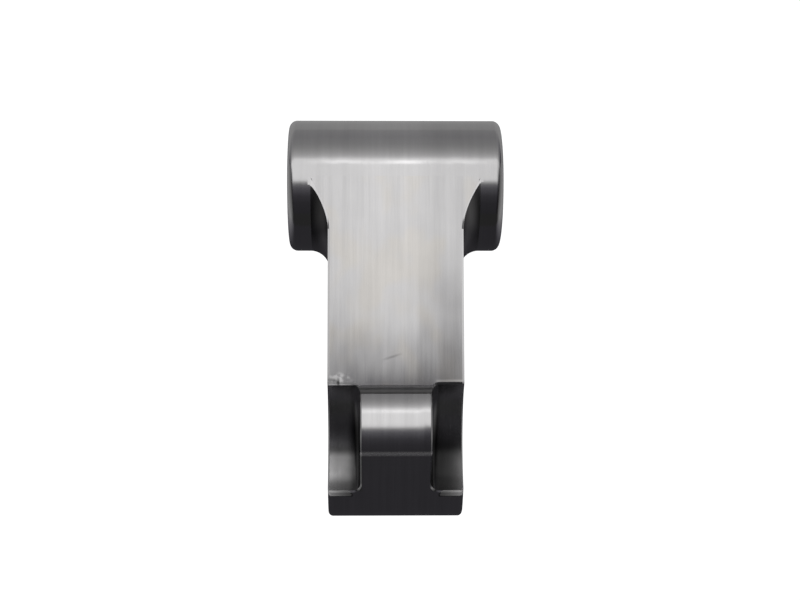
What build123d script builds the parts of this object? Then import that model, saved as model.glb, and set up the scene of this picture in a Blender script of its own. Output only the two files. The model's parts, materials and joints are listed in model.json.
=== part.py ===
"""Finger-type rocker arm with a slipper pad, machined and ground from one piece of steel.

Frame: the origin is the centre of the pivot bore. +X runs along the bore, +Z is the way the ground flat
faces, and the arm reaches out along -Y to the cam pad and the nose. All lengths are in millimetres.

In the side view, "along" is the distance from the bore's axis towards the nose, and "height" is the
distance above that axis. "Across" is the distance from the middle of the arm, along the bore.
"""
import os
from math import asin, atan2, cos, hypot, radians, sin, sqrt

from build123d import *

# Pivot boss: a plain cylinder across the arm, bored for the rocker shaft
boss_diameter = 20.0
boss_width = 32.2
boss_corner_radius = 1.2
bore_diameter = 13.0
bore_chamfer = 0.6

# Arm: its top is ground flat. The boss is turned a hair proud of the flat and of the arm's blends, so that
# each of them ends against it in a clean line
boss_proud = 0.01
arm_width = 20.0
arm_depth = 13.8
side_blend_radius = 3.0
belly_blend_radius = 8.0

# Head: its tip is nose_reach from the bore's axis, and the rest of it is measured back from the tip
nose_reach = 50.4

# Cam pad: a convex slipper on a narrow ridge, a little higher than the flat
pad_from_tip = 12.7
pad_radius = 7.4
pad_rise = 2.5
pad_end_angle = 27.5
ridge_width = 10.4
groove_radius = 0.65
groove_depth = 0.3
groove_lead = 0.2

# Reliefs: one disc-shaped cut on each side of the ridge, which starts a little before the pad
relief_lead = 1.07
relief_depth = 6.05
relief_cutter_radius = 10.3
relief_corner_radius = 1.25

# Nose: a bevelled end face, a rounded tip and the valve contact under it, a little lower than the belly
nose_radius = 5.0
nose_corner_radius = 0.7
valve_contact_from_tip = 6.9
valve_contact_radius = 12.0
valve_contact_drop = 1.15
valve_contact_blend = 2.0

# The other outer edges are broken by hand: the flat's long sides a little more than the rest
flat_side_radius = 0.3
edge_chamfer = 0.2

# Places along the arm, and the heights of the flat, the belly and the pad's axis
pad_centre_along = nose_reach - pad_from_tip
valve_contact_along = nose_reach - valve_contact_from_tip
nose_centre_along = nose_reach - nose_radius
boss_radius = boss_diameter / 2
core_radius = boss_radius - boss_proud
flat_height = core_radius
belly_height = flat_height - arm_depth
pad_centre_height = flat_height + pad_rise - pad_radius

# The pad starts where its arc meets the flat, and ends at the bevel
pad_start_along = pad_centre_along - sqrt(pad_radius**2 - (flat_height - pad_centre_height) ** 2)
pad_end_along = pad_centre_along + pad_radius * sin(radians(pad_end_angle))
pad_end_height = pad_centre_height + pad_radius * cos(radians(pad_end_angle))

# The relief starts where the cutter's circle meets the flat
relief_floor_height = flat_height - relief_depth
relief_start_along = pad_start_along - relief_lead
relief_centre_height = relief_floor_height + relief_cutter_radius
relief_centre_along = relief_start_along + sqrt(
    relief_cutter_radius**2 - (relief_centre_height - flat_height) ** 2
)
relief_middle_across = (arm_width + ridge_width) / 4

# The valve contact's arc carries on from the nose's smaller arc without a corner
centre_gap = valve_contact_radius - nose_radius
centre_shift = nose_centre_along - valve_contact_along
centre_rise = sqrt(centre_gap**2 - centre_shift**2)
valve_centre_height = belly_height - valve_contact_drop + valve_contact_radius
nose_centre_height = valve_centre_height - centre_rise
nose_end_along = nose_centre_along + centre_shift * nose_radius / centre_gap
nose_end_height = nose_centre_height - centre_rise * nose_radius / centre_gap
valve_end_along = valve_contact_along - sqrt(
    valve_contact_radius**2 - (valve_centre_height - belly_height) ** 2
)

# The bevel runs from the pad's end, about 45 degrees down, to where it touches the nose's arc
bevel_run = nose_centre_along - pad_end_along
bevel_drop = pad_end_height - nose_centre_height
bevel_angle = atan2(bevel_drop, bevel_run) - asin(nose_radius / hypot(bevel_run, bevel_drop))
bevel_end_along = nose_centre_along + nose_radius * sin(bevel_angle)
bevel_end_height = nose_centre_height + nose_radius * cos(bevel_angle)

side_view = Plane(origin=(0, 0, 0), x_dir=(0, -1, 0), z_dir=(-1, 0, 0))

# The whole arm seen from the side, boss included
with BuildSketch(side_view) as outline:
    with BuildLine():
        flat = Line((0, flat_height), (pad_start_along, flat_height))
        pad = ThreePointArc(
            flat @ 1,
            (pad_centre_along, flat_height + pad_rise),
            (pad_end_along, pad_end_height),
        )
        bevel = Line(pad @ 1, (bevel_end_along, bevel_end_height))
        nose = ThreePointArc(
            bevel @ 1, (nose_reach, nose_centre_height), (nose_end_along, nose_end_height)
        )
        contact = ThreePointArc(
            nose @ 1,
            (valve_contact_along, valve_centre_height - valve_contact_radius),
            (valve_end_along, belly_height),
        )
        belly = Line(contact @ 1, (0, belly_height))
        Line(belly @ 1, flat @ 0)
    make_face()
    Circle(core_radius)
    contact_corner = outline.vertices().sort_by_distance((valve_end_along, belly_height))[0]
    fillet(contact_corner, radius=valve_contact_blend)
    boss_corner = outline.vertices().sort_by_distance((core_radius, belly_height))[0]
    fillet(boss_corner, radius=belly_blend_radius)
    # A narrow groove at the foot of the pad gives the grinding wheel room to run out. It cuts into the pad's
    # start, so that the pad rises from it with an upright wall
    with Locations((pad_start_along - groove_lead, flat_height + groove_radius - groove_depth)):
        Circle(groove_radius, mode=Mode.SUBTRACT)

# The hollow blend between the arm's sides and the boss: a ring turned round the bore's axis, of which
# only the stretch inside the arm's outline is kept
with BuildPart() as side_blends:
    with BuildSketch(Plane.XY):
        with BuildLine():
            inner = Polyline(
                (-arm_width / 2, core_radius + side_blend_radius),
                (0, core_radius + side_blend_radius),
                (0, core_radius / 2),
                (-arm_width / 2 - side_blend_radius, core_radius / 2),
                (-arm_width / 2 - side_blend_radius, core_radius),
            )
            TangentArc(inner @ 0, inner @ 1, tangent=(0, -1))
        make_face()
    revolve(axis=Axis.X)
    extrude(outline.sketch, amount=boss_width / 2, mode=Mode.INTERSECT)
    mirror(about=Plane.YZ)

# The disc cutters for the reliefs, with their corners rounded where they run against the ridge
with BuildPart() as relief_cutters:
    with BuildSketch(side_view.offset(ridge_width / 2)):
        with Locations((relief_centre_along, relief_centre_height)):
            Circle(relief_cutter_radius)
    extrude(amount=arm_width / 2)
    fillet(relief_cutters.edges().group_by(Axis.X)[-1], radius=relief_corner_radius)
    mirror(about=Plane.YZ)


def both_sides(across, along, height):
    """The arm's edges at one place of the side view, on its left and on its right."""
    left = rocker_arm.edges().sort_by_distance((-across, -along, height))[0]
    right = rocker_arm.edges().sort_by_distance((across, -along, height))[0]
    return [left, right]


with BuildPart() as boss:
    with BuildSketch(side_view):
        Circle(boss_radius)
    extrude(amount=boss_width / 2, both=True)
    fillet(boss.edges().filter_by(GeomType.CIRCLE), radius=boss_corner_radius)

with BuildPart() as rocker_arm:
    extrude(outline.sketch, amount=arm_width / 2, both=True)
    add(side_blends.part)
    add(relief_cutters.part, mode=Mode.SUBTRACT)

    # Broken edges: the flat's sides, the nose and the belly are rounded, and the edges round the reliefs
    # and the ridge are chamfered
    fillet(both_sides(arm_width / 2, relief_start_along / 2, flat_height), radius=flat_side_radius)
    fillet(both_sides(arm_width / 2, nose_reach, nose_centre_height), radius=nose_corner_radius)
    relief_starts = both_sides(relief_middle_across, relief_start_along, flat_height)
    relief_sides = both_sides(arm_width / 2, relief_centre_along, relief_floor_height)
    pad_sides = both_sides(ridge_width / 2, pad_centre_along, flat_height + pad_rise)
    bevel_sides = both_sides(ridge_width / 2, pad_end_along + edge_chamfer, pad_end_height - edge_chamfer)
    pad_end = rocker_arm.edges().sort_by_distance((0, -pad_end_along, pad_end_height))[0]
    chamfer(relief_starts + relief_sides + pad_sides + bevel_sides + [pad_end], length=edge_chamfer)

    # The boss, and the pivot bore with both mouths chamfered
    add(boss.part)
    with BuildSketch(side_view):
        Circle(bore_diameter / 2)
    extrude(amount=boss_width, both=True, mode=Mode.SUBTRACT)
    end_faces = rocker_arm.faces().filter_by(Axis.X).sort_by(Axis.X)
    bore_mouths = [face.edges().sort_by(SortBy.LENGTH)[0] for face in (end_faces[0], end_faces[-1])]
    chamfer(bore_mouths, length=bore_chamfer)

rocker_arm.part.label = "rocker_arm"
os.makedirs("parts", exist_ok=True)
export_step(rocker_arm.part, "parts/rocker_arm.step")
print(f"rocker_arm: {rocker_arm.part.volume:.0f} cubic mm, {len(rocker_arm.part.faces())} faces")
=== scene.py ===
# %% [markdown]
# # A rocker arm in ground steel
# The real object is one piece of hardened steel. It is turned round its bore, ground flat on top, milled
# away on both sides of the pad, and polished where the cam slides. The CAD solid already has the right
# shape, down to its 0.2 mm chamfers, so this lesson leaves the solid alone. It gives the steel its finish:
# true round shading, grinding lines, milling lines, broken edges and a few marks of use. Polished steel
# shows the room more than itself, so the room is worked out as carefully as the metal.

# %% Load the frame
import json
from math import asin, atan2, cos, degrees, hypot, radians, sin, sqrt

import bpy
import numpy as np
from mathutils import Matrix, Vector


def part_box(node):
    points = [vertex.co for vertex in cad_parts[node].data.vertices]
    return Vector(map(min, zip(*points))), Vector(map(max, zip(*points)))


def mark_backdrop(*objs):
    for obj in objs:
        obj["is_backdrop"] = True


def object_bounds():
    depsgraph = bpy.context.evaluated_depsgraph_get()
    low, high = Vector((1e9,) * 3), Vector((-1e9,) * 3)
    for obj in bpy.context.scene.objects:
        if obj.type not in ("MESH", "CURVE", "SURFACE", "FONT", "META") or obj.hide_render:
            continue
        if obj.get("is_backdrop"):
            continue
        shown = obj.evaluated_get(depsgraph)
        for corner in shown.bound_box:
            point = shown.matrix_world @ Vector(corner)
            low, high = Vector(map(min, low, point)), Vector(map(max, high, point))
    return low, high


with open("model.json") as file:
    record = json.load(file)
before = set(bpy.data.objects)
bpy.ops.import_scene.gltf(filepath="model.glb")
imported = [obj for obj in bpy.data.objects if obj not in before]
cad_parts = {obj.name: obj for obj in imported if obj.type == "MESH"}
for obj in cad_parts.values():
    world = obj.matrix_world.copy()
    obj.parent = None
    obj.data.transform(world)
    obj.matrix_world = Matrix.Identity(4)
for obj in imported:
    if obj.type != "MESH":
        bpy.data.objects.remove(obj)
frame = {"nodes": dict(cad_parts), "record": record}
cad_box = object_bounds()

arm = frame["nodes"]["rocker_arm"]
mounts = {mount["name"]: mount for mount in frame["record"]["mounts"]}
print("The CAD box in mm:", [[round(1000 * c, 2) for c in corner] for corner in cad_box])

# %% [markdown]
# ## The camera
# A long lens looks down on the arm from 230 mm away, nearly square to the ground flat. It leans 6.5
# degrees towards the nose, so a little of the bevelled end shows. A long lens keeps the arm's sides almost
# parallel, as in a catalogue picture. Its place is given in the camera's own directions: so far to the
# right of the bore's axis, so far up the picture from it, and so far back. It also stands a hair to the left
# and looks a little to the right.

# %% Set up the camera
MM = 0.001
LEAN = radians(6.5)
SIDE_LEAN = radians(1.1)
CAMERA_RIGHT = 0.84 * MM
CAMERA_UP = -17.6 * MM
CAMERA_BACK = 231.66 * MM
LENS = 67.5  # on a sensor 36 mm wide

picture_right = np.array([1, 0, 0])
picture_up = np.array([0, cos(LEAN), sin(LEAN)])
picture_out = np.array([0, -sin(LEAN), cos(LEAN)])
camera_right = cos(SIDE_LEAN) * picture_right + sin(SIDE_LEAN) * picture_out
camera_back = cos(SIDE_LEAN) * picture_out - sin(SIDE_LEAN) * picture_right

camera = bpy.data.objects.new("camera", bpy.data.cameras.new("camera"))
camera.data.lens = LENS
camera.data.clip_start = 1 * MM
camera.location = CAMERA_RIGHT * camera_right + CAMERA_UP * picture_up + CAMERA_BACK * camera_back
camera.rotation_euler = Matrix(np.column_stack([camera_right, picture_up, camera_back])).to_euler()
bpy.context.collection.objects.link(camera)
bpy.context.scene.camera = camera
bpy.context.scene.view_settings.view_transform = "Standard"
print("The camera is at", [round(c, 4) for c in camera.location], "m")

# %% [markdown]
# ## Writing shaders as sums
# A shader is arithmetic on numbers that change from point to point. Node by node, a formula such as
# `1 - abs(x) / width` takes a screenful of code. So one small class wraps an output socket, and Python's
# own operators add the Math nodes. A second class is a node tree with one method that makes any other node.

# %% Let a varying number take part in sums
class Varying:
    """A number that changes from point to point: an output socket on which Python's operators work."""

    def __init__(self, recipe, socket):
        self.recipe = recipe
        self.socket = socket

    def math(self, operation, *others):
        operands = dict(enumerate((self, *others)))
        made = self.recipe.make("ShaderNodeMath", {"operation": operation}, operands)
        return Varying(self.recipe, made.outputs[0])

    def swapped(self, operation, other):
        made = self.recipe.make("ShaderNodeMath", {"operation": operation}, {0: other, 1: self})
        return Varying(self.recipe, made.outputs[0])

    def __add__(self, other):
        return self.math("ADD", other)

    def __radd__(self, other):
        return self.math("ADD", other)

    def __sub__(self, other):
        return self.math("SUBTRACT", other)

    def __rsub__(self, other):
        return self.swapped("SUBTRACT", other)

    def __mul__(self, other):
        return self.math("MULTIPLY", other)

    def __rmul__(self, other):
        return self.math("MULTIPLY", other)

    def __truediv__(self, other):
        return self.math("DIVIDE", other)

    def __rtruediv__(self, other):
        return self.swapped("DIVIDE", other)

    def __pow__(self, other):
        return self.math("POWER", other)

    def __neg__(self):
        return self.math("MULTIPLY", -1)

    def __abs__(self):
        return self.math("ABSOLUTE")

    def __gt__(self, other):
        return self.math("GREATER_THAN", other)

    def __lt__(self, other):
        return self.math("LESS_THAN", other)

    def step(self, start, end):
        """0 before start and 1 after end, with an S-shaped rise between. With end before start it falls."""
        made = self.recipe.make(
            "ShaderNodeMapRange",
            {"interpolation_type": "SMOOTHSTEP"},
            {"Value": self, "From Min": start, "From Max": end},
        )
        return Varying(self.recipe, made.outputs[0])

    def near(self, place, width):
        """1 where the number is place, falling to 0 at width to either side."""
        return abs(self - place).step(width, 0)


def distance(*legs):
    """The square root of the sum of the squares, for two or more varying numbers."""
    total = legs[0] * legs[0]
    for leg in legs[1:]:
        total = total + leg * leg
    return total.math("SQRT")


# %% [markdown]
# The second helper is the node tree itself. Blender wants a node's settings before its values, since some
# settings change which sockets there are, so its one method takes them in that order.

# %% Make any node in one line
class Recipe:
    """The node tree of a material or of the world."""

    def __init__(self, owner):
        owner.use_nodes = True
        self.tree = owner.node_tree
        self.tree.nodes.clear()

    def make(self, kind, settings=None, sockets=None):
        """A node of this kind: its settings first, then a value or a link for each of the named sockets."""
        node = self.tree.nodes.new(kind)
        for name, value in (settings or {}).items():
            setattr(node, name, value)
        for name, value in (sockets or {}).items():
            source = value.socket if isinstance(value, Varying) else value
            if isinstance(source, bpy.types.NodeSocket):
                self.tree.links.new(source, node.inputs[name])
            else:
                node.inputs[name].default_value = source
        return node

    def value(self, socket):
        return Varying(self, socket)

    def vector(self, operation, first, second=None):
        """The vector that a Vector Math node makes of one or two vectors."""
        sockets = {0: first} if second is None else {0: first, 1: second}
        return self.make("ShaderNodeVectorMath", {"operation": operation}, sockets).outputs["Vector"]

    def dot(self, first, second):
        made = self.make("ShaderNodeVectorMath", {"operation": "DOT_PRODUCT"}, {0: first, 1: second})
        return self.value(made.outputs["Value"])

    def join(self, x, y, z):
        return self.make("ShaderNodeCombineXYZ", None, {"X": x, "Y": y, "Z": z}).outputs[0]

    def split(self, vector):
        made = self.make("ShaderNodeSeparateXYZ", None, {0: vector})
        return [self.value(made.outputs[axis]) for axis in "XYZ"]

    def blend_vectors(self, first, second, share):
        made = self.make("ShaderNodeMix", {"data_type": "VECTOR"}, {0: share, 4: first, 5: second})
        return made.outputs[1]

    def blend_colours(self, first, second, share, blend_type="MIX"):
        settings = {"data_type": "RGBA", "blend_type": blend_type}
        return self.make("ShaderNodeMix", settings, {0: share, 6: first, 7: second}).outputs[2]

    def grey(self, level):
        sockets = {"Red": level, "Green": level, "Blue": level}
        return self.make("ShaderNodeCombineColor", None, sockets).outputs[0]

    def noise(self, at, scale=1.0, detail=2.0, roughness=0.5):
        """Smooth random values round 0.5, with bumps about 1 / scale wide, at the given places."""
        sockets = {"Vector": at, "Scale": scale, "Detail": detail, "Roughness": roughness}
        return self.value(self.make("ShaderNodeTexNoise", None, sockets).outputs["Fac"])


print("The two helpers are ready: Varying and Recipe")

# %% [markdown]
# ## The room that the steel mirrors
# Steel has almost no colour of its own: its bright and dark bands are the room, bent by its curves. So the
# lesson builds a small room. Each wall is a surface made from a grid of points. A brightness is stored at
# each point, and the surface shines with it. A map wrapped round the scene could do this for a far room, but
# this room is near, and the boss, the flat and the pad have to see different parts of it. The darkest cloth
# is faintly violet, as a shadow on white cloth is.

# %% Make a surface from a grid of points
def surface(name, points):
    """A mesh object from an array of points, rows by columns by 3. Each four neighbours make one face."""
    rows, columns = points.shape[:2]
    index = np.arange(rows * columns).reshape(rows, columns)
    corners = np.stack([index[:-1, :-1], index[:-1, 1:], index[1:, 1:], index[1:, :-1]], axis=-1)
    mesh = bpy.data.meshes.new(name)
    mesh.from_pydata(points.reshape(-1, 3).tolist(), [], corners.reshape(-1, 4).tolist())
    mesh.shade_smooth()
    made = bpy.data.objects.new(name, mesh)
    bpy.context.collection.objects.link(made)
    return made


DARK_CLOTH = (0.99, 0.96, 1.10, 1)
WHITE_CLOTH = (1, 1, 1, 1)
WHITE_FROM = 0.35  # the brightness from which cloth has no tint


def give_glow(made, glow):
    """Stores a brightness at each point of a surface and makes the surface shine with it."""
    made.data.attributes.new("glow", "FLOAT", "POINT").data.foreach_set("value", glow.ravel())
    material = bpy.data.materials.new(made.name + "_light")
    recipe = Recipe(material)
    level = recipe.value(recipe.make("ShaderNodeAttribute", {"attribute_name": "glow"}).outputs["Fac"])
    tint = recipe.blend_colours(DARK_CLOTH, WHITE_CLOTH, level.step(0.0, WHITE_FROM))
    colour = recipe.blend_colours(tint, recipe.grey(level), 1.0, "MULTIPLY")
    shine = recipe.make("ShaderNodeEmission", None, {"Color": colour, "Strength": 1.0})
    recipe.make("ShaderNodeOutputMaterial", None, {"Surface": shine.outputs[0]})
    made.data.materials.append(material)


print("The walls of the room can be made")

# %% [markdown]
# ## The light tent
# A small part like this is lit in a light tent, a bent sheet of white cloth with lamps behind it. The tent
# hangs over the arm and comes down behind it. Its shape is a profile, seen from the side, that is carried
# straight across: a flat top, a quarter of an ellipse and a wall. Its brightness is one curve up the picture
# times one curve down the wall. The first sets how the light fades from the flat to the nose, and the second
# the greys of the upper half of the boss. Three lamps behind the cloth draw the white dashes on the boss.

# %% Hang the light tent
TENT_TOP = 297.0  # out from the bore's axis, in mm
TENT_WALL = 105.0  # up the picture
BEND_START = 20.0  # where the top begins to bend, up the picture
BEND_END = 130.0  # where the bend has become the wall, out from the axis
TENT_FRONT = -400.0
TENT_FOOT = -60.0

bend = np.linspace(0, np.pi / 2, 91)
tent_up = np.r_[
    np.linspace(TENT_FRONT, BEND_START, 211)[:-1],
    BEND_START + (TENT_WALL - BEND_START) * np.sin(bend),
    np.full(96, TENT_WALL)[1:],
]
tent_out = np.r_[
    np.full(210, TENT_TOP),
    BEND_END + (TENT_TOP - BEND_END) * np.cos(bend),
    np.linspace(BEND_END, TENT_FOOT, 96)[1:],
]
tent_x = np.r_[np.linspace(-280, -62, 22), np.linspace(-60, 60, 61), np.linspace(64, 260, 50)]
profile = tent_up[:, None] * picture_up + tent_out[:, None] * picture_out
points = MM * (profile[:, None, :] + tent_x[None, :, None] * picture_right)
tent = surface("tent", points)
tent.visible_camera = False
print("The tent has", len(tent.data.polygons), "faces")

# %% Set how bright the cloth is
GLOW_UP = [
    # up the picture in mm, brightness
    (-400, 0.030),
    (-200, 0.035),
    (-115, 0.050),
    (-78, 0.080),
    (-40, 0.114),
    (-11, 0.190),
    (-4, 0.25),
    (5, 0.37),
    (12, 0.50),
    (19, 0.70),
    (26, 0.88),
    (34, 0.98),
    (44, 1.03),
    (60, 1.05),
]
GLOW_OUT = [
    # out from the axis in mm, share of the brightness above
    (-60, 0.32),
    (-30, 0.27),
    (5, 0.245),
    (36, 0.28),
    (54, 0.33),
    (75, 0.43),
    (90, 0.53),
    (100, 0.62),
    (108, 0.76),
    (118, 1.00),
    (170, 1.00),
]
GLOW_ACROSS = [
    # across in mm, share of the brightness above
    (-280, 0.0),
    (-150, 1.0),
    (60, 1.0),
    (150, 0.6),
    (260, 0.0),
]

along_profile = np.interp(tent_up, *zip(*GLOW_UP)) * np.interp(tent_out, *zip(*GLOW_OUT))
sideways_share = np.interp(tent_x, *zip(*GLOW_ACROSS))
print("The cloth's brightness is", round(along_profile.min(), 3), "to", round(along_profile.max(), 2))

# %% Put the lamps behind the cloth
LAMP_GLOW = 0.95
LAMP_FROM, LAMP_TO, LAMP_EDGE = 127.0, 154.0, 6.0  # out from the axis, where the lamps shine through
LAMP_SIDE_EDGE = 3.0
LAMPS = [
    # start and end across, share of the glow
    (-15.5, -6.0, 0.5),
    (1.5, 9.0, 0.9),
    (17.0, 23.0, 0.5),
]


def soft_box(place, start, end, edge):
    """1 between start and end, with a straight fall to 0 over the edge's width round each of them."""
    return np.clip(np.minimum(place - start, end - place) / edge + 0.5, 0, 1)


lamp_rows = soft_box(tent_out, LAMP_FROM, LAMP_TO, LAMP_EDGE)
lamp_columns = sum(share * soft_box(tent_x, start, end, LAMP_SIDE_EDGE) for start, end, share in LAMPS)
lamps = LAMP_GLOW * lamp_rows[:, None] * lamp_columns[None, :]
give_glow(tent, (along_profile[:, None] + lamps) * sideways_share[None, :])
print("There are", len(LAMPS), "lamps behind the cloth")

# %% [markdown]
# ## The world outside the tent
# What the tent leaves open is a dark room. It stays dark ahead, where the bevel and the nose look, and it is
# paler on both sides, so that the arm's sides and the boss's ends show their form from any view.

# %% Paint the world outside the tent
WORLD_DARK = 0.030
WORLD_SIDES = 0.24
SIDE_TURN = (0.40, 0.80)  # how far a direction has to turn sideways for the pale sides to come in
SIDE_RISE = (0.8, 0.2)  # how steep a direction may be before they go out
world = bpy.data.worlds.new("room")
bpy.context.scene.world = world
recipe = Recipe(world)
toward = recipe.split(recipe.make("ShaderNodeTexCoord").outputs["Generated"])
sides = abs(toward[0]).step(*SIDE_TURN) * abs(toward[2]).step(*SIDE_RISE)
grey = sides * (WORLD_SIDES - WORLD_DARK) + WORLD_DARK
background = recipe.make("ShaderNodeBackground", None, {"Color": grey, "Strength": 1.0})
recipe.make("ShaderNodeOutputWorld", None, {"Surface": background.outputs[0]})
print("The world is", WORLD_DARK, "ahead and", WORLD_SIDES, "at the sides")

# %% [markdown]
# ## The plane on which the arm rests
# The arm lies on its boss and on the valve contact under its nose, which is less deep than the boss, so the
# arm leans. The table is the plane that touches both. Seen from the side, it is the line that touches two
# circles. The line between their centres has one lean, and the difference of their radii adds another. In
# the steps from here on, "along" is the distance from the bore's axis towards the nose, and "height" the
# distance above that axis, both in mm.

# %% Find the plane on which the arm rests
CONTACT_RADIUS = 12.0
contact = mounts["valve_contact"]["pos_m"]
contact_axis = (-contact[1] / MM, contact[2] / MM + CONTACT_RADIUS)  # along, height
boss_drop = -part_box("rocker_arm")[0].z / MM
axes_lean = atan2(contact_axis[1], contact_axis[0])
rest_lean = axes_lean - asin((CONTACT_RADIUS - boss_drop) / hypot(*contact_axis))
table_normal = np.array([0, sin(rest_lean), cos(rest_lean)])
table_back = np.array([0, cos(rest_lean), -sin(rest_lean)])
print("At rest the arm leans", round(degrees(rest_lean), 2), "degrees")

# %% [markdown]
# ## The table
# The table is made of two flat sheets. The steel mirrors the lower one, which shines with painted light and
# shade: dark in front and paler behind the boss, paler beside the arm as well, where the light of the room
# would reach it, and a little painted light under the arm, so that the underside isn't lost. The camera sees
# the upper one, a light table, so the ground behind the arm is white and the steel's dark bands stay dark.
# Seen from below it is clear. A white shell round everything, seen by the camera alone, carries the white on
# where a low view looks past the table's edge.

# %% Lay out the table
TABLE_SIDE = 1200.0  # mm
TABLE_DROP = 0.5  # below the light table


def sheet(name, drop):
    """A square below the arm: its middle, plus a share of the side along each of its two directions."""
    shares = np.linspace(-TABLE_SIDE / 2, TABLE_SIDE / 2, 241)
    middle = -(boss_drop + drop) * table_normal
    points = middle + shares[:, None, None] * table_back + shares[None, :, None] * picture_right
    return surface(name, MM * points), shares


table, places = sheet("table", TABLE_DROP)
table.visible_camera = False
print("The table is", TABLE_SIDE, "mm square")

# %% Light the table
TABLE_FRONT_GLOW = 0.035
TABLE_BACK_GLOW = 0.34
TABLE_FADE = (-5.0, 22.0)  # behind the bore's axis, where the table turns paler
TABLE_SIDE_GLOW = 0.34
SIDE_START = 14.0  # across, where the pale side can begin
SIDE_EASE = 15.0  # added to the distance ahead or behind, so that the sum is never 0
SIDE_FADE = (0.15, 1.2)  # how far past the start, over that sum: from none of the glow to all of it
TABLE_UNDER_GLOW = 0.22
UNDER_ALONG = (-42.0, -8.0, 10.0)  # start, end and soft edge, with the arm on the side below 0
UNDER_ACROSS = (-7.0, 7.0, 5.0)

# painted light and shade: pale behind and beside the arm, dark in front, a little light under it
behind = np.interp(places, TABLE_FADE, [TABLE_FRONT_GLOW, TABLE_BACK_GLOW])[:, None]
sideways = (abs(places)[None, :] - SIDE_START) / (abs(places)[:, None] + SIDE_EASE)
beside = TABLE_SIDE_GLOW * np.interp(sideways, SIDE_FADE, [0, 1])
under = soft_box(places, *UNDER_ALONG)[:, None] * soft_box(places, *UNDER_ACROSS)[None, :]
give_glow(table, np.maximum(np.maximum(behind, beside), TABLE_UNDER_GLOW * under))
print("The table shines with", TABLE_FRONT_GLOW, "in front and", TABLE_BACK_GLOW, "behind the boss")

# %% Lay the light table over it
LIGHT_TABLE_GLOW = 1.1


def from_above(made):
    """Lets the camera see a sheet from above only, so that the arm can be looked at from underneath."""
    recipe = Recipe(made.active_material)
    below = recipe.make("ShaderNodeNewGeometry").outputs["Backfacing"]
    shine = recipe.make("ShaderNodeEmission", None, {"Color": (1, 1, 1, 1), "Strength": LIGHT_TABLE_GLOW})
    clear = recipe.make("ShaderNodeBsdfTransparent")
    shader = recipe.make("ShaderNodeMixShader", None, {0: below, 1: shine.outputs[0], 2: clear.outputs[0]})
    recipe.make("ShaderNodeOutputMaterial", None, {"Surface": shader.outputs[0]})


light_table = sheet("light_table", 0.0)[0]
light_table.data.materials.append(bpy.data.materials.new("light_table"))
from_above(light_table)
print("The light table lies", TABLE_DROP, "mm above the other")

# %% Put the white shell round everything
SHELL_RADIUS = 580.0
rise, turn = np.meshgrid(np.linspace(0, np.pi, 33), np.linspace(0, 2 * np.pi, 65), indexing="ij")
shell_points = np.stack([np.sin(rise) * np.cos(turn), np.sin(rise) * np.sin(turn), np.cos(rise)], axis=-1)
shell = surface("shell", SHELL_RADIUS * MM * shell_points)
give_glow(shell, np.full(rise.shape, LIGHT_TABLE_GLOW))
for seen_by_camera in (light_table, shell):
    seen_by_camera.visible_glossy = False
    seen_by_camera.visible_diffuse = False
    seen_by_camera.visible_transmission = False
    seen_by_camera.visible_shadow = False
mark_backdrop(tent, table, light_table, shell)
print("The shell is", SHELL_RADIUS, "mm in radius")

# %% [markdown]
# ## The steel
# All of the arm is one steel, so it is one material, and what changes from place to place is the finish.
# The finish has to know where each face is, so the sizes come first, in mm, and the places that follow from
# them: the ends of each round face, and the lips, where the reliefs run out through the bevel.

# %% Work out the places on the top
BOSS_RADIUS = 10.0
BOSS_HALF_WIDTH = 16.1
BOSS_CORNER = 1.2
BORE_RADIUS = 6.5
FLAT_HEIGHT = 9.99
ARM_HALF_WIDTH = 10.0
SIDE_BLEND = 3.0
RIDGE_HALF_WIDTH = 5.2
PAD_AXIS = (37.7, 5.09)  # along, height
PAD_RADIUS = 7.4
PAD_END_TURN = radians(27.5)
GROOVE_RADIUS = 0.65
GROOVE_RISE = 0.35  # from the flat up to the groove's axis
GROOVE_LEAD = 0.2
RELIEF_LEAD = 1.07
RELIEF_RADIUS = 10.3
RELIEF_CORNER = 1.25
RELIEF_AXIS_HEIGHT = 14.24

pad_start = PAD_AXIS[0] - sqrt(PAD_RADIUS**2 - (FLAT_HEIGHT - PAD_AXIS[1]) ** 2)
pad_end = (PAD_AXIS[0] + PAD_RADIUS * sin(PAD_END_TURN), PAD_AXIS[1] + PAD_RADIUS * cos(PAD_END_TURN))
groove_axis = (pad_start - GROOVE_LEAD, FLAT_HEIGHT + GROOVE_RISE)
groove_start = groove_axis[0] - sqrt(GROOVE_RADIUS**2 - GROOVE_RISE**2)
relief_start = pad_start - RELIEF_LEAD
half_chord = sqrt(RELIEF_RADIUS**2 - (RELIEF_AXIS_HEIGHT - FLAT_HEIGHT) ** 2)
relief_axis = (relief_start + half_chord, RELIEF_AXIS_HEIGHT)
print("The pad starts", round(pad_start, 2), "mm along and each relief", round(relief_start, 2))

# %% Work out where the reliefs run out
# From the pad's end the bevel drops 1 mm for each mm along. It meets the relief's circle after down_bevel
start_out = pad_end[0] - relief_axis[0]
start_rise = pad_end[1] - relief_axis[1]
half_sum = (start_out - start_rise) / 2
down_bevel = -half_sum + sqrt(half_sum**2 - (start_out**2 + start_rise**2 - RELIEF_RADIUS**2) / 2)
lip = (pad_end[0] + down_bevel, pad_end[1] - down_bevel)
print("The lips are", round(lip[0], 2), "mm along and", round(lip[1], 2), "mm high")

# %% Work out the places on the nose and the underside
BELLY_HEIGHT = -3.81
BELLY_BLEND = 8.0
NOSE_RADIUS = 5.0
NOSE_ALONG = 45.4
CONTACT_BLEND = 2.0
BEVEL_FALL = radians(45)

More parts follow.
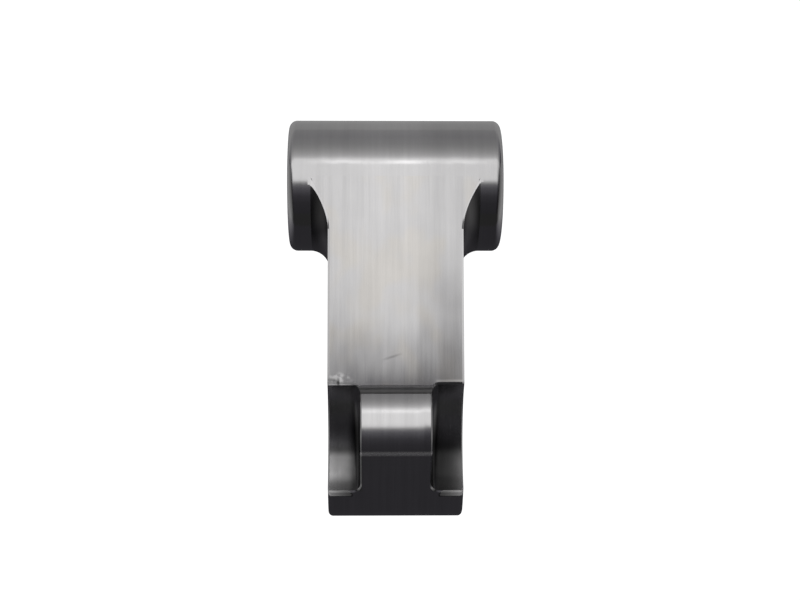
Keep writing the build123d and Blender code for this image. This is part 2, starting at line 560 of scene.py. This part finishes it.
contact_along, contact_height = contact_axis
nose_back = NOSE_ALONG - contact_along
centre_gap = CONTACT_RADIUS - NOSE_RADIUS
nose_height = contact_height - sqrt(centre_gap**2 - nose_back**2)
nose_top = nose_height + NOSE_RADIUS * cos(BEVEL_FALL)
nose_end = NOSE_ALONG + nose_back * NOSE_RADIUS / centre_gap
blend_height = BELLY_HEIGHT - CONTACT_BLEND
blend_back = sqrt((CONTACT_RADIUS + CONTACT_BLEND) ** 2 - (contact_height - blend_height) ** 2)
blend_along = contact_along - blend_back
contact_start = contact_along - blend_back * CONTACT_RADIUS / (CONTACT_RADIUS + CONTACT_BLEND)
belly_axis_height = BELLY_HEIGHT - BELLY_BLEND
belly_start = sqrt((FLAT_HEIGHT + BELLY_BLEND) ** 2 - belly_axis_height**2)
boss_end = belly_start * FLAT_HEIGHT / (FLAT_HEIGHT + BELLY_BLEND)
print("The valve contact runs from", round(contact_start, 2), "to", round(nose_end, 2), "mm along")

# %% [markdown]
# ## The place of each point
# A material asks for the same things at every point of the surface: where am I, and which way do I face? The
# recipe works in millimetres. `across` is the distance from the middle of the arm, `along` and `height` are
# as before, and the mesh's own facing tells a side from a top.

# %% Start the steel
steel = bpy.data.materials.new("ground_steel")
recipe = Recipe(steel)
place = recipe.vector("MULTIPLY", recipe.make("ShaderNodeTexCoord").outputs["Object"], (1000, 1000, 1000))
x, y, height = recipe.split(place)
across = abs(x)
side = x.math("SIGN")
along = -y
mesh_normal = recipe.make("ShaderNodeNewGeometry").outputs["Normal"]
facing_x, _, facing_up = recipe.split(mesh_normal)
print("The steel is called", steel.name)

# %% [markdown]
# ## True shading
# A mesh of flat triangles bends a mirrored room wherever its shading is a little off. Smooth shading would
# only average the triangles, which isn't enough for a mirror. But every round face of this arm is a cylinder
# or a ring about an axis that runs across it. So the recipe works out the true direction that the surface
# faces from the point's own place: away from the axis on a bulge, and towards it in a hollow. It uses that
# direction only where the point lies on such a face, and the mesh agrees.

# %% Turn the shading true on the cylinders
ON_THE_FACE = 0.02  # how far the mesh's flat triangles may lie from the true round face
AGREES = 0.97  # the least cosine between the true facing and the mesh's
FAR = 99  # mm, past every face of the arm
EVERYWHERE = (-FAR, FAR)


def trued(normal, facing, on_it):
    """The normal, or the true facing where it is on that face and the mesh nearly agrees, and where."""
    unit = recipe.vector("NORMALIZE", facing)
    is_true = on_it * (recipe.dot(unit, mesh_normal) > AGREES)
    return recipe.blend_vectors(normal, unit, is_true), is_true


# name: how far along and how high its axis is, its radius, +1 for a bulge or -1 for a hollow, and the stretch
# along and the stretch of height in which the face lies
ROUND_FACES = {
    "boss": (0.0, 0.0, BOSS_RADIUS, 1, EVERYWHERE, EVERYWHERE),
    "bore": (0.0, 0.0, BORE_RADIUS, -1, EVERYWHERE, EVERYWHERE),
    "pad": (*PAD_AXIS, PAD_RADIUS, 1, EVERYWHERE, (FLAT_HEIGHT, FAR)),
    "groove": (*groove_axis, GROOVE_RADIUS, -1, EVERYWHERE, EVERYWHERE),
    "relief": (*relief_axis, RELIEF_RADIUS, -1, EVERYWHERE, EVERYWHERE),
    "nose": (NOSE_ALONG, nose_height, NOSE_RADIUS, 1, (nose_end, FAR), (-FAR, nose_top)),
    "valve contact": (*contact_axis, CONTACT_RADIUS, 1, (contact_start, nose_end), (-FAR, 0)),
    "contact blend": (blend_along, blend_height, CONTACT_BLEND, -1, (blend_along, contact_start), (-FAR, 0)),
    "belly blend": (belly_start, belly_axis_height, BELLY_BLEND, -1, (boss_end, belly_start), (-FAR, 0)),
}
on_face = {}
true_normal = mesh_normal
for name, (axis_along, axis_height, radius, bulge, stretch, rise) in ROUND_FACES.items():
    out_along = along - axis_along
    out_height = height - axis_height
    on_it = abs(distance(out_along, out_height) - radius) < ON_THE_FACE
    if stretch != EVERYWHERE:
        on_it = on_it * (along > stretch[0]) * (along < stretch[1])
    if rise != EVERYWHERE:
        on_it = on_it * (height > rise[0]) * (height < rise[1])
    facing = recipe.join(0.0, -bulge * out_along, bulge * out_height)
    true_normal, on_face[name] = trued(true_normal, facing, on_it)
print("True shading on", len(ROUND_FACES), "cylinders")

# %% [markdown]
# A ring is a corner or a hollow that follows a circle: the boss's rounded rims, the hollow blends between
# the boss and the arm's sides, and the rounded foot of each relief. Cut through, each is a small circle. A
# point faces away from that circle's centre, or towards it, both sideways and out from the big axis.

# %% Turn the shading true on the rings
# name: the axis, how far out from it and how far across the small circle's centre is, that circle's radius
# and +1 for a bulge or -1 for a hollow, and the ranges of reach from the axis and across in which it lies
RINGS = {
    "boss corner": (
        (0, 0),
        (BOSS_RADIUS - BOSS_CORNER, BOSS_HALF_WIDTH - BOSS_CORNER),
        (BOSS_CORNER, 1),
        (BOSS_RADIUS - BOSS_CORNER, FAR),
        (BOSS_HALF_WIDTH - BOSS_CORNER, FAR),
    ),
    "side blend": (
        (0, 0),
        (FLAT_HEIGHT + SIDE_BLEND, ARM_HALF_WIDTH + SIDE_BLEND),
        (SIDE_BLEND, -1),
        (BOSS_RADIUS + ON_THE_FACE, BOSS_RADIUS + SIDE_BLEND),
        (ARM_HALF_WIDTH, ARM_HALF_WIDTH + SIDE_BLEND),
    ),
    "relief corner": (
        relief_axis,
        (RELIEF_RADIUS - RELIEF_CORNER, RIDGE_HALF_WIDTH + RELIEF_CORNER),
        (RELIEF_CORNER, -1),
        (RELIEF_RADIUS - RELIEF_CORNER, FAR),
        (RIDGE_HALF_WIDTH, RIDGE_HALF_WIDTH + RELIEF_CORNER),
    ),
}
for name, (axis, (ring_out, ring_across), (radius, bulge), reaches, widths) in RINGS.items():
    out_along = along - axis[0]
    out_height = height - axis[1]
    reach = distance(out_along, out_height)
    on_it = abs(distance(reach - ring_out, across - ring_across) - radius) < ON_THE_FACE
    on_it = on_it * (reach > reaches[0]) * (reach < reaches[1])
    on_it = on_it * (across > widths[0]) * (across < widths[1])
    swell = (reach - ring_out) / reach * bulge
    facing = recipe.join((across - ring_across) * side * bulge, -1 * (swell * out_along), swell * out_height)
    true_normal, on_face[name] = trued(true_normal, facing, on_it)
in_relief = (on_face["relief"] + on_face["relief corner"]).math("MINIMUM", 1.0)
print("True shading on", len(RINGS), "rings")

# %% [markdown]
# ## Where the flat's finish ends
# The flat's finish runs a little past its borders. The wheel takes a hair off the tops of the hollow blends
# beside the boss, on the left a little deeper. At the start of the left relief the edge is worn over, so
# there the flat's shine carries on down the small chamfer. Changing the mesh by such hairs would gain
# nothing, so these strips only take the flat's facing.

# %% Carry the flat's finish over its borders
SAME_HEIGHT = 0.004
LEVEL = 0.9995  # the least upward share of the mesh's facing on the flat
PAST_THE_TOP = 0.4  # where the flat begins, along from the top of the boss
BLEND_SKIM = 0.07  # how deep the wheel skims the blends, and as much again on the left
WORN_HALF = 0.31
WORN_DOWN_TO = 8.9

on_flat = (abs(height - FLAT_HEIGHT) < SAME_HEIGHT) * (facing_up > LEVEL) * (along > PAST_THE_TOP)
on_face["boss"] = on_face["boss"] * (1 - on_flat)
blend_top = height > FLAT_HEIGHT - BLEND_SKIM - BLEND_SKIM * (x < 0.0)
blend_top = blend_top * (1 - on_flat) * (along > PAST_THE_TOP)
blend_top = blend_top * (across > ARM_HALF_WIDTH) * (across < ARM_HALF_WIDTH + SIDE_BLEND)
on_face["side blend"] = on_face["side blend"] * (1 - blend_top)
worn_start = along.near(relief_start, WORN_HALF).step(0.0, 0.3) * (x < -RIDGE_HALF_WIDTH)
worn_start = worn_start * (height > WORN_DOWN_TO) * (height < FLAT_HEIGHT - SAME_HEIGHT)
true_normal = recipe.blend_vectors(true_normal, (0, 0, 1), on_flat + worn_start + blend_top)
print("The wheel skims", BLEND_SKIM, "mm off the right blend and", 2 * BLEND_SKIM, "off the left")

# %% [markdown]
# ## Wear on the edges
# Handling and the grinder leave every outer edge a little rounder and rougher than the drawing says, and the
# bare, scuffed edge catches light from all around. A Bevel node looks at the faces round a point and
# averages the way they face. Where that average departs from the face's own direction, an edge is near. The
# departure bends the shading round the edge, and its size says how worn the steel is there. The worn start
# of the left relief and the lips are left out, since each is rounded in its own way. The edges also get a
# painted highlight later, when their tone is raised on top of their rougher wear.

# %% Find the edges and round them
EDGE_REACH = 0.16 * MM

bevel_sockets = {"Radius": EDGE_REACH, "Normal": mesh_normal}
rounded = recipe.make("ShaderNodeBevel", {"samples": 8}, bevel_sockets).outputs[0]
departure = recipe.vector("SUBTRACT", rounded, mesh_normal)
near_worn = along.near(relief_start, 1.0).step(0.0, 0.5) * (x < -RIDGE_HALF_WIDTH)
at_lip = distance(along - lip[0], height - lip[1]).step(0.6, 0.4) * across.step(5.6, 5.9)
departure = recipe.blend_vectors(departure, (0, 0, 0), (near_worn + at_lip).math("MINIMUM", 1.0))
turned = 1 - recipe.dot(rounded, mesh_normal)
smooth_face = sum(on_face[name] for name in ("boss corner", "side blend", "relief corner", "groove"))
edge = turned.step(0.02, 0.12) * (1 - (smooth_face + at_lip).math("MINIMUM", 1.0))
true_normal = recipe.vector("NORMALIZE", recipe.vector("ADD", true_normal, departure))
print("Edges are rounded within", round(EDGE_REACH / MM, 2), "mm")

# %% [markdown]
# ## The flat is not quite flat
# A flat ground by hand on a belt rolls off near its end, and here more so on the right. The difference is
# three degrees at most, hard to find with a caliper, but a mirror shows it: the light fades towards the pad.
# So the shape is left alone, and the shading leans towards the nose by a small angle that grows. Each term
# below is one such stroke: how far along it comes in, where across it lies, and how much it leans.

# %% Lean the flat's shading towards the nose
ALL_LEAN = radians(0.9)
LEFT_LEAN = radians(0.5)
RIGHT_LEAN = radians(0.75)
END_LEAN = radians(2.4)
END_FROM = 27.0

left_side = x.step(-1.0, -6.0)
right_side = x.step(2.2, 3.8) + x.step(5.3, 7.0)
end_share = ((along - END_FROM) / (groove_start - END_FROM)).math("MAXIMUM", 0.0)
end_width = across.step(9.0, 4.5) * (1 - 0.55 * x.near(-5.2, 2.8))
lean = along.step(20.0, 26.0) * ALL_LEAN
lean = lean + (along.step(10.0, 18.0) + along.step(24.0, 29.0)) * left_side * LEFT_LEAN
lean = lean + along.step(2.0, 18.0) * right_side * RIGHT_LEAN
lean = lean + along.near(18.0, 7.0) * x.step(2.2, 7.0) * RIGHT_LEAN
lean = lean + along.near(22.6, 3.2) * x.near(4.4, 1.6) * RIGHT_LEAN
lean = lean + end_share**2 * end_width * END_LEAN
print("The flat leans up to", round(degrees(ALL_LEAN + END_LEAN), 1), "degrees at its end")

# %% [markdown]
# Just before the right relief the flat tips back a little, and so do the worn edge of the left one and a
# patch of small dents near the left corner. The flat, the pad and the boss all have faint waves, which keep
# the mirrored room from looking ruled. Noise is a good source for them, because no two waves are then alike.

# %% Add the dents and the waves
EDGE_LEAN = radians(1.6)
DENT_LEAN = radians(3.0)
FLAT_WAVES = radians(1.6)
PAD_WAVES = radians(5.0)
PAD_LEAN = radians(1.6)
BOSS_WAVES = radians(2.4)
TOP_FROM = 8.0  # the height above which the marks on the top lie

waves = recipe.noise(recipe.join(x * 0.45, along * 0.16, height * 0.3), detail=1.0) - 0.5
lean = lean - along.near(relief_start - 0.35, 0.4) * x.step(5.4, 6.2) * EDGE_LEAN
dents = recipe.noise(place, 1.3, 0.0, 0.5).step(0.36, 0.66)
dents = dents * x.near(-8.2, 2.4) * along.near(30.3, 1.1) * (height > TOP_FROM)
lean = lean - dents * DENT_LEAN
lean = lean - worn_start * 0.6 * EDGE_LEAN
lean = (lean + waves * FLAT_WAVES) * (on_flat + worn_start)
pad_waves = recipe.noise(recipe.join(x * 0.9, along * 0.5, height * 0.5), detail=2.0) - 0.5
pad_lean = pad_waves * x.step(2.0, 5.0) * PAD_WAVES + x.step(3.2, 4.4) * PAD_LEAN
lean = lean + pad_lean * on_face["pad"]
boss_waves = recipe.noise(recipe.join(x * 0.35, along * 0.05, height * 0.05), detail=2.0) - 0.5
lean = lean + boss_waves * on_face["boss"] * BOSS_WAVES
true_normal = recipe.vector("NORMALIZE", recipe.vector("ADD", true_normal, recipe.join(0.0, -lean, 0.0)))
print("The dents lean up to", round(degrees(DENT_LEAN), 1), "degrees")

# %% [markdown]
# ## The lips and the long edges
# Where a relief runs out through the bevel it leaves a thin lip, which is rounded more than any other edge,
# and most of all away from the ridge. The ridge's left edge beyond the pad and the flat's two long edges are
# rubbed over as well. All of these face upwards more than the drawing says, so an upward share is added to
# the direction there. The pad's far end is scuffed and gets a painted highlight: it is found here, and its
# tone comes later.

# %% Round the lips and the long edges
LIP_FROM = RIDGE_HALF_WIDTH + 0.6
LIP_FULL = RIDGE_HALF_WIDTH + 2.0
LIP_REACH = 0.88
LIP_BACK = 0.9  # the share added towards the boss
LIP_UP = 3.0  # the shares added upwards
LONG_SIDE_UP = 12.0
RIDGE_SIDE_UP = 0.6
PAD_END_DROP = 0.2
LONG_SIDE_START = 8.3
LONG_SIDE_SIZE = (0.32, 0.39)  # mm in from the side, and down from the flat

lip_start = across.step(LIP_FROM, LIP_FULL)
lip_drop = 0.64 - 0.3 * lip_start  # the rounding's middle lies so far down the bevel
near_lip = distance(along - lip[0] - lip_drop, height - lip[1] + lip_drop).step(LIP_REACH, 0.0) * lip_start
from_pad_end = distance(along - pad_end[0] - PAD_END_DROP, height - pad_end[1] + PAD_END_DROP)
near_pad_end = from_pad_end.step(0.6, 0.15)
long_side = (across > ARM_HALF_WIDTH - LONG_SIDE_SIZE[0]) * (height > FLAT_HEIGHT - LONG_SIDE_SIZE[1])
long_side = long_side * (along > LONG_SIDE_START) * (along < relief_start)
ridge_side = x.near(-RIDGE_HALF_WIDTH + 0.1, 0.25) * (along > pad_end[0]) * (along < lip[0])
ridge_side = ridge_side * (1 - in_relief) * (height > lip[1] - 1.0)
bent = near_lip.step(0.25, 0.6)
added_up = LIP_UP * bent + LONG_SIDE_UP * long_side + RIDGE_SIDE_UP * ridge_side
upwards = recipe.join(0.0, LIP_BACK * bent, added_up)
true_normal = recipe.vector("NORMALIZE", recipe.vector("ADD", true_normal, upwards))
print("The lips are rounded from", round(LIP_FROM, 1), "mm across outwards")

# %% [markdown]
# ## Grinding lines
# Every tool that cut this arm moved round the bore's axis or lengthwise, so on the top, the boss, the pad
# and the reliefs the fine lines keep one distance from the middle. On the arm's sides they run lengthwise,
# and on the boss's ends they are circles round the bore. Noise that changes fast across the lines and slowly
# along them looks like such lines. There is a fine set and a broad one, since a wheel's grains differ.

# %% Draw the grinding lines
LINES_PER_MM = 5.0
ALONG_LINES = 0.12  # how fast the noise changes along a line, for each mm

on_side = abs(facing_x).step(0.55, 0.85)
is_boss_end = on_side * (across > BOSS_HALF_WIDTH - 0.3)  # the end and the last of its rim
from_axis = distance(along, height)
level_lines = recipe.join(x * LINES_PER_MM, along * ALONG_LINES, height * ALONG_LINES)
side_lines = recipe.join(height * LINES_PER_MM, along * ALONG_LINES, side)
round_lines = recipe.join(from_axis * LINES_PER_MM, side, 0.0)
line_place = recipe.blend_vectors(level_lines, side_lines, on_side)
line_place = recipe.blend_vectors(line_place, round_lines, is_boss_end)
fine_lines = recipe.noise(line_place, 1.0, 3.0, 0.65) - 0.5
broad_lines = recipe.noise(line_place, 0.22, 2.0, 0.5) - 0.5
print("About", LINES_PER_MM, "lines to a mm")

# %% [markdown]
# ## Tones
# A tone is how much of its light the steel gives back, with 1 for the bright top. The tones start with the
# reliefs, where no wheel reaches after milling, so each keeps a darker skin, and over it the tone paints the
# shade and light that the ridge and the light from the left give them. The left one is painted paler towards
# its outer edge, in two steps. The right one, shaded by the ridge from the light on the left, is painted
# darker, and paler only at its very edge. Both are painted brighter than the flat where they dip below it,
# and darker on the way down.

# %% Tone the reliefs: their skin with painted shade and light
LEFT_SKIN_AND_SHADE = 0.10
RIGHT_SKIN_AND_SHADE = 0.036

clouds = recipe.noise(place, 0.22, 3.0, 0.55) - 0.5
outward = (across - RIDGE_HALF_WIDTH) / (ARM_HALF_WIDTH - RIDGE_HALF_WIDTH)
# painted shade and light over the milled skin: paler outwards on the left, darkest on the right
left_skin_and_shade = LEFT_SKIN_AND_SHADE + 0.25 * outward.step(0.18, 0.44) + 0.24 * outward**3
left_skin_and_shade = left_skin_and_shade * (1 - 0.5 * along.near(40.6, 1.2)) * (1 - 0.15 * along.near(45.6, 0.9))
right_skin_and_shade = (RIGHT_SKIN_AND_SHADE + 0.18 * outward**4) * (1 + along.step(44.5, 46.5))
left_skin_and_shade = 1 + (left_skin_and_shade - 1) * along.step(33.0, 38.0)
right_skin_and_shade = 1 + (right_skin_and_shade - 1) * along.step(33.8, 40.4)
painted_relief_start_light = along.step(33.6, 32.0)
relief_skin_and_shade = left_skin_and_shade + (right_skin_and_shade - left_skin_and_shade) * (x > 0.0) + 0.10 * outward.step(0.22, 0.05)
# painted light where each relief first dips below the flat
relief_skin_shade_and_light = relief_skin_and_shade * (1 + clouds) - 1 + 0.4 * painted_relief_start_light
print("The darkest skin gives back", round(100 * RIGHT_SKIN_AND_SHADE, 1), "percent")

# %% [markdown]
# The grinding lines are a little darker and brighter in turn, less so on the boss. The flat and the boss
# are painted slightly darker towards their sides, painted shade that stands in for a light brighter over the
# middle. The hollow blends, which no wheel fits into, are painted much darker, as shade in the hollows, and
# they turn paler where they run out along the arm.

# %% Tone the flat, the boss and the blends, with painted shade
SIDE_SHADE_LEFT = 0.06
SIDE_SHADE_RIGHT = 0.09
PAINTED_BLEND_SHADE = 0.84  # on the left, and less by the next on the right
PAINTED_BLEND_SHADE_RIGHT_LESS = 0.16

line_strength = 1 - 0.55 * on_face["boss"]
tone = 1 + (fine_lines * 0.20 + broad_lines * 0.24) * line_strength + clouds * 0.12
tone = tone * (1 + relief_skin_shade_and_light * in_relief)
# painted shade towards the sides of the flat and the boss
side_shade_left = x.step(-3.0, -8.0) * SIDE_SHADE_LEFT
side_shade_right = x.step(2.0, 7.0) * SIDE_SHADE_RIGHT
tone = tone * (1 - (side_shade_left + side_shade_right) * along.step(26.0, 20.0) * (on_flat + on_face["boss"]))
# painted shade in the hollow blends, less on the right and where they run out along the arm
blend_shade = (PAINTED_BLEND_SHADE - PAINTED_BLEND_SHADE_RIGHT_LESS * (x > 0.0)) * (1 - 0.75 * along.step(8.0, 10.8))
tone = tone * (1 - blend_shade * on_face["side blend"])
print("The flat and the blends are toned")

# %% [markdown]
# A dark line of painted shade follows each edge of the ridge from the far half of the pad on. The groove at
# the pad's foot is painted dark, as old oil and the shade in it, all but its first edge, which gets a painted
# highlight. Each relief gets painted shade close to the ridge, as far as the pad's end. The lips, the pad's
# end and the worn edges get their own tone last, over all the rest: the lips are painted darker towards the
# ridge, and the pad's end gets a painted highlight.

# %% Tone the ridge, the groove and the worn edges, with painted shade and highlights
RIDGE_SHADE_LINE_DEPTH = 0.45
GROOVE_EDGE_HIGHLIGHT = 0.6
GROOVE_OIL_AND_SHADE_DEPTH = 1.33
RIDGE_FOOT_SHADE = 0.6

# painted shade: a dark line along each edge of the ridge
ridge_shade_line = across.near(RIDGE_HALF_WIDTH - 0.1, 0.2).step(0.0, 0.5) * along.step(38.5, 40.0)
ridge_shade_line = ridge_shade_line * along.step(lip[0] - 0.9, lip[0] - 1.3)
tone = tone * (1 - RIDGE_SHADE_LINE_DEPTH * ridge_shade_line * (1 - in_relief) * (height > lip[1] - 1.0))
# painted dark in the groove, as shade and old oil, with a painted highlight on its first edge
groove_oil_and_shade = along.step(groove_start, groove_start + 0.45)
tone = tone * (1 + (GROOVE_EDGE_HIGHLIGHT - GROOVE_OIL_AND_SHADE_DEPTH * groove_oil_and_shade) * on_face["groove"])
# painted shade in each relief close to the ridge, as far as the pad's end
tone = tone * (1 - RIDGE_FOOT_SHADE * in_relief * across.step(7.0, 5.8) * along.step(41.5, 39.5))
# painted shade on the lips: their tone falls towards the ridge
lip_shade_tone = 0.08 + 0.52 * outward**2
# painted highlight: the pad's scuffed end gets 0.9 added to its tone
tone = tone + near_lip.step(0.2, 0.45) * (lip_shade_tone - tone) + 0.9 * near_pad_end
tone = tone - 0.2 * long_side * (x < 0.0) - 0.35 * worn_start
print("The edges are toned")

# %% [markdown]
# ## Marks of use
# A short scratch crosses the flat near its end, and something hard has nicked the flat's corner beside the
# left relief, with small bright dents round the nick and one dull dent.

# %% Add the scratch and the nick
NICK = (-8.4, 30.9)  # x, along
DULL_DENT = (-9.4, 30.55)
SCRATCH_START = (-2.15, 27.7)
SCRATCH_LENGTH = 3.3
SCRATCH_TURN = radians(-17.6)

from_start_x = x - SCRATCH_START[0]
from_start_along = along - SCRATCH_START[1]
down_scratch = from_start_x * cos(SCRATCH_TURN) + from_start_along * sin(SCRATCH_TURN)
off_scratch = from_start_along * cos(SCRATCH_TURN) - from_start_x * sin(SCRATCH_TURN)
scratch = off_scratch.near(0.0, 0.3) * down_scratch.near(SCRATCH_LENGTH / 2, SCRATCH_LENGTH * 0.6) * on_flat
nick = x.near(NICK[0], 0.34) * along.near(NICK[1], 1.0) * (height > TOP_FROM)
dull_dent = x.near(DULL_DENT[0], 1.2) * along.near(DULL_DENT[1], 0.45) * (height > TOP_FROM)
tone = tone * (1 - 0.3 * scratch) * (1 - 0.85 * nick) * (1 - 0.5 * dull_dent) * (1 + 0.2 * dents * on_flat)
print("One scratch and one nick")

# %% [markdown]
# ## Colour, gloss and relief
# Steel is a nearly neutral grey, and old oil has warmed a few patches of the flat. Its roughness is low
# where the steel is polished and higher on milled skin and scuffed edges. The grinding lines are also cut a
# thousandth of a millimetre deep, by a Bump node on top of the true direction, so that they break up the
# highlights. One Principled shader takes all of this.

# %% Join the steel up
PLAIN_COLOUR = (0.600, 0.592, 0.596, 1)
WARM_COLOUR = (0.612, 0.590, 0.566, 1)
ROUGHNESS = 0.17
LINE_DEPTH = 0.0012 * MM

patches = recipe.noise(recipe.join(x * 0.16, along * 0.11, height * 0.1), 1.0, 2.0, 0.5)
colour = recipe.blend_colours(PLAIN_COLOUR, WARM_COLOUR, patches.step(0.45, 0.62) * on_flat)
# painted highlight: the tone of the worn edges is raised by a quarter
tone = tone + edge * 0.25
colour = recipe.blend_colours(colour, recipe.grey(tone), 1.0, "MULTIPLY")
roughness = ROUGHNESS + fine_lines * 0.10 + in_relief * 0.08 + edge * 0.30
roughness = roughness + on_face["groove"] * 0.50 + dents * 0.2
roughness = roughness + on_face["side blend"] * 0.18 - on_face["boss"] * 0.05
roughness = roughness + near_lip * 0.15 + near_pad_end * 0.35
bump_sockets = {
    "Height": fine_lines + broad_lines * 2,
    "Strength": 1.0,
    "Distance": LINE_DEPTH,
    "Normal": true_normal,
}
bump = recipe.make("ShaderNodeBump", None, bump_sockets)
sockets = {
    "Base Color": colour,
    "Metallic": 1 - 0.06 * in_relief,
    "Roughness": roughness,
    "Normal": bump.outputs["Normal"],
}
shader = recipe.make("ShaderNodeBsdfPrincipled", None, sockets)
recipe.make("ShaderNodeOutputMaterial", None, {"Surface": shader.outputs[0]})
arm.data.materials[0] = steel
print("The steel has", len(recipe.tree.nodes), "nodes")

# %% [markdown]
# ## Closing
# The finish changes no size, so the box of what is shown equals the CAD box.

# %% Measure and finish
boxes = {"cad": [list(corner) for corner in cad_box], "visual": [list(corner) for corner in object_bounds()]}
gap = np.abs(np.subtract(boxes["cad"], boxes["visual"])).max()
print("The boxes agree within", round(gap / MM, 3), "mm")
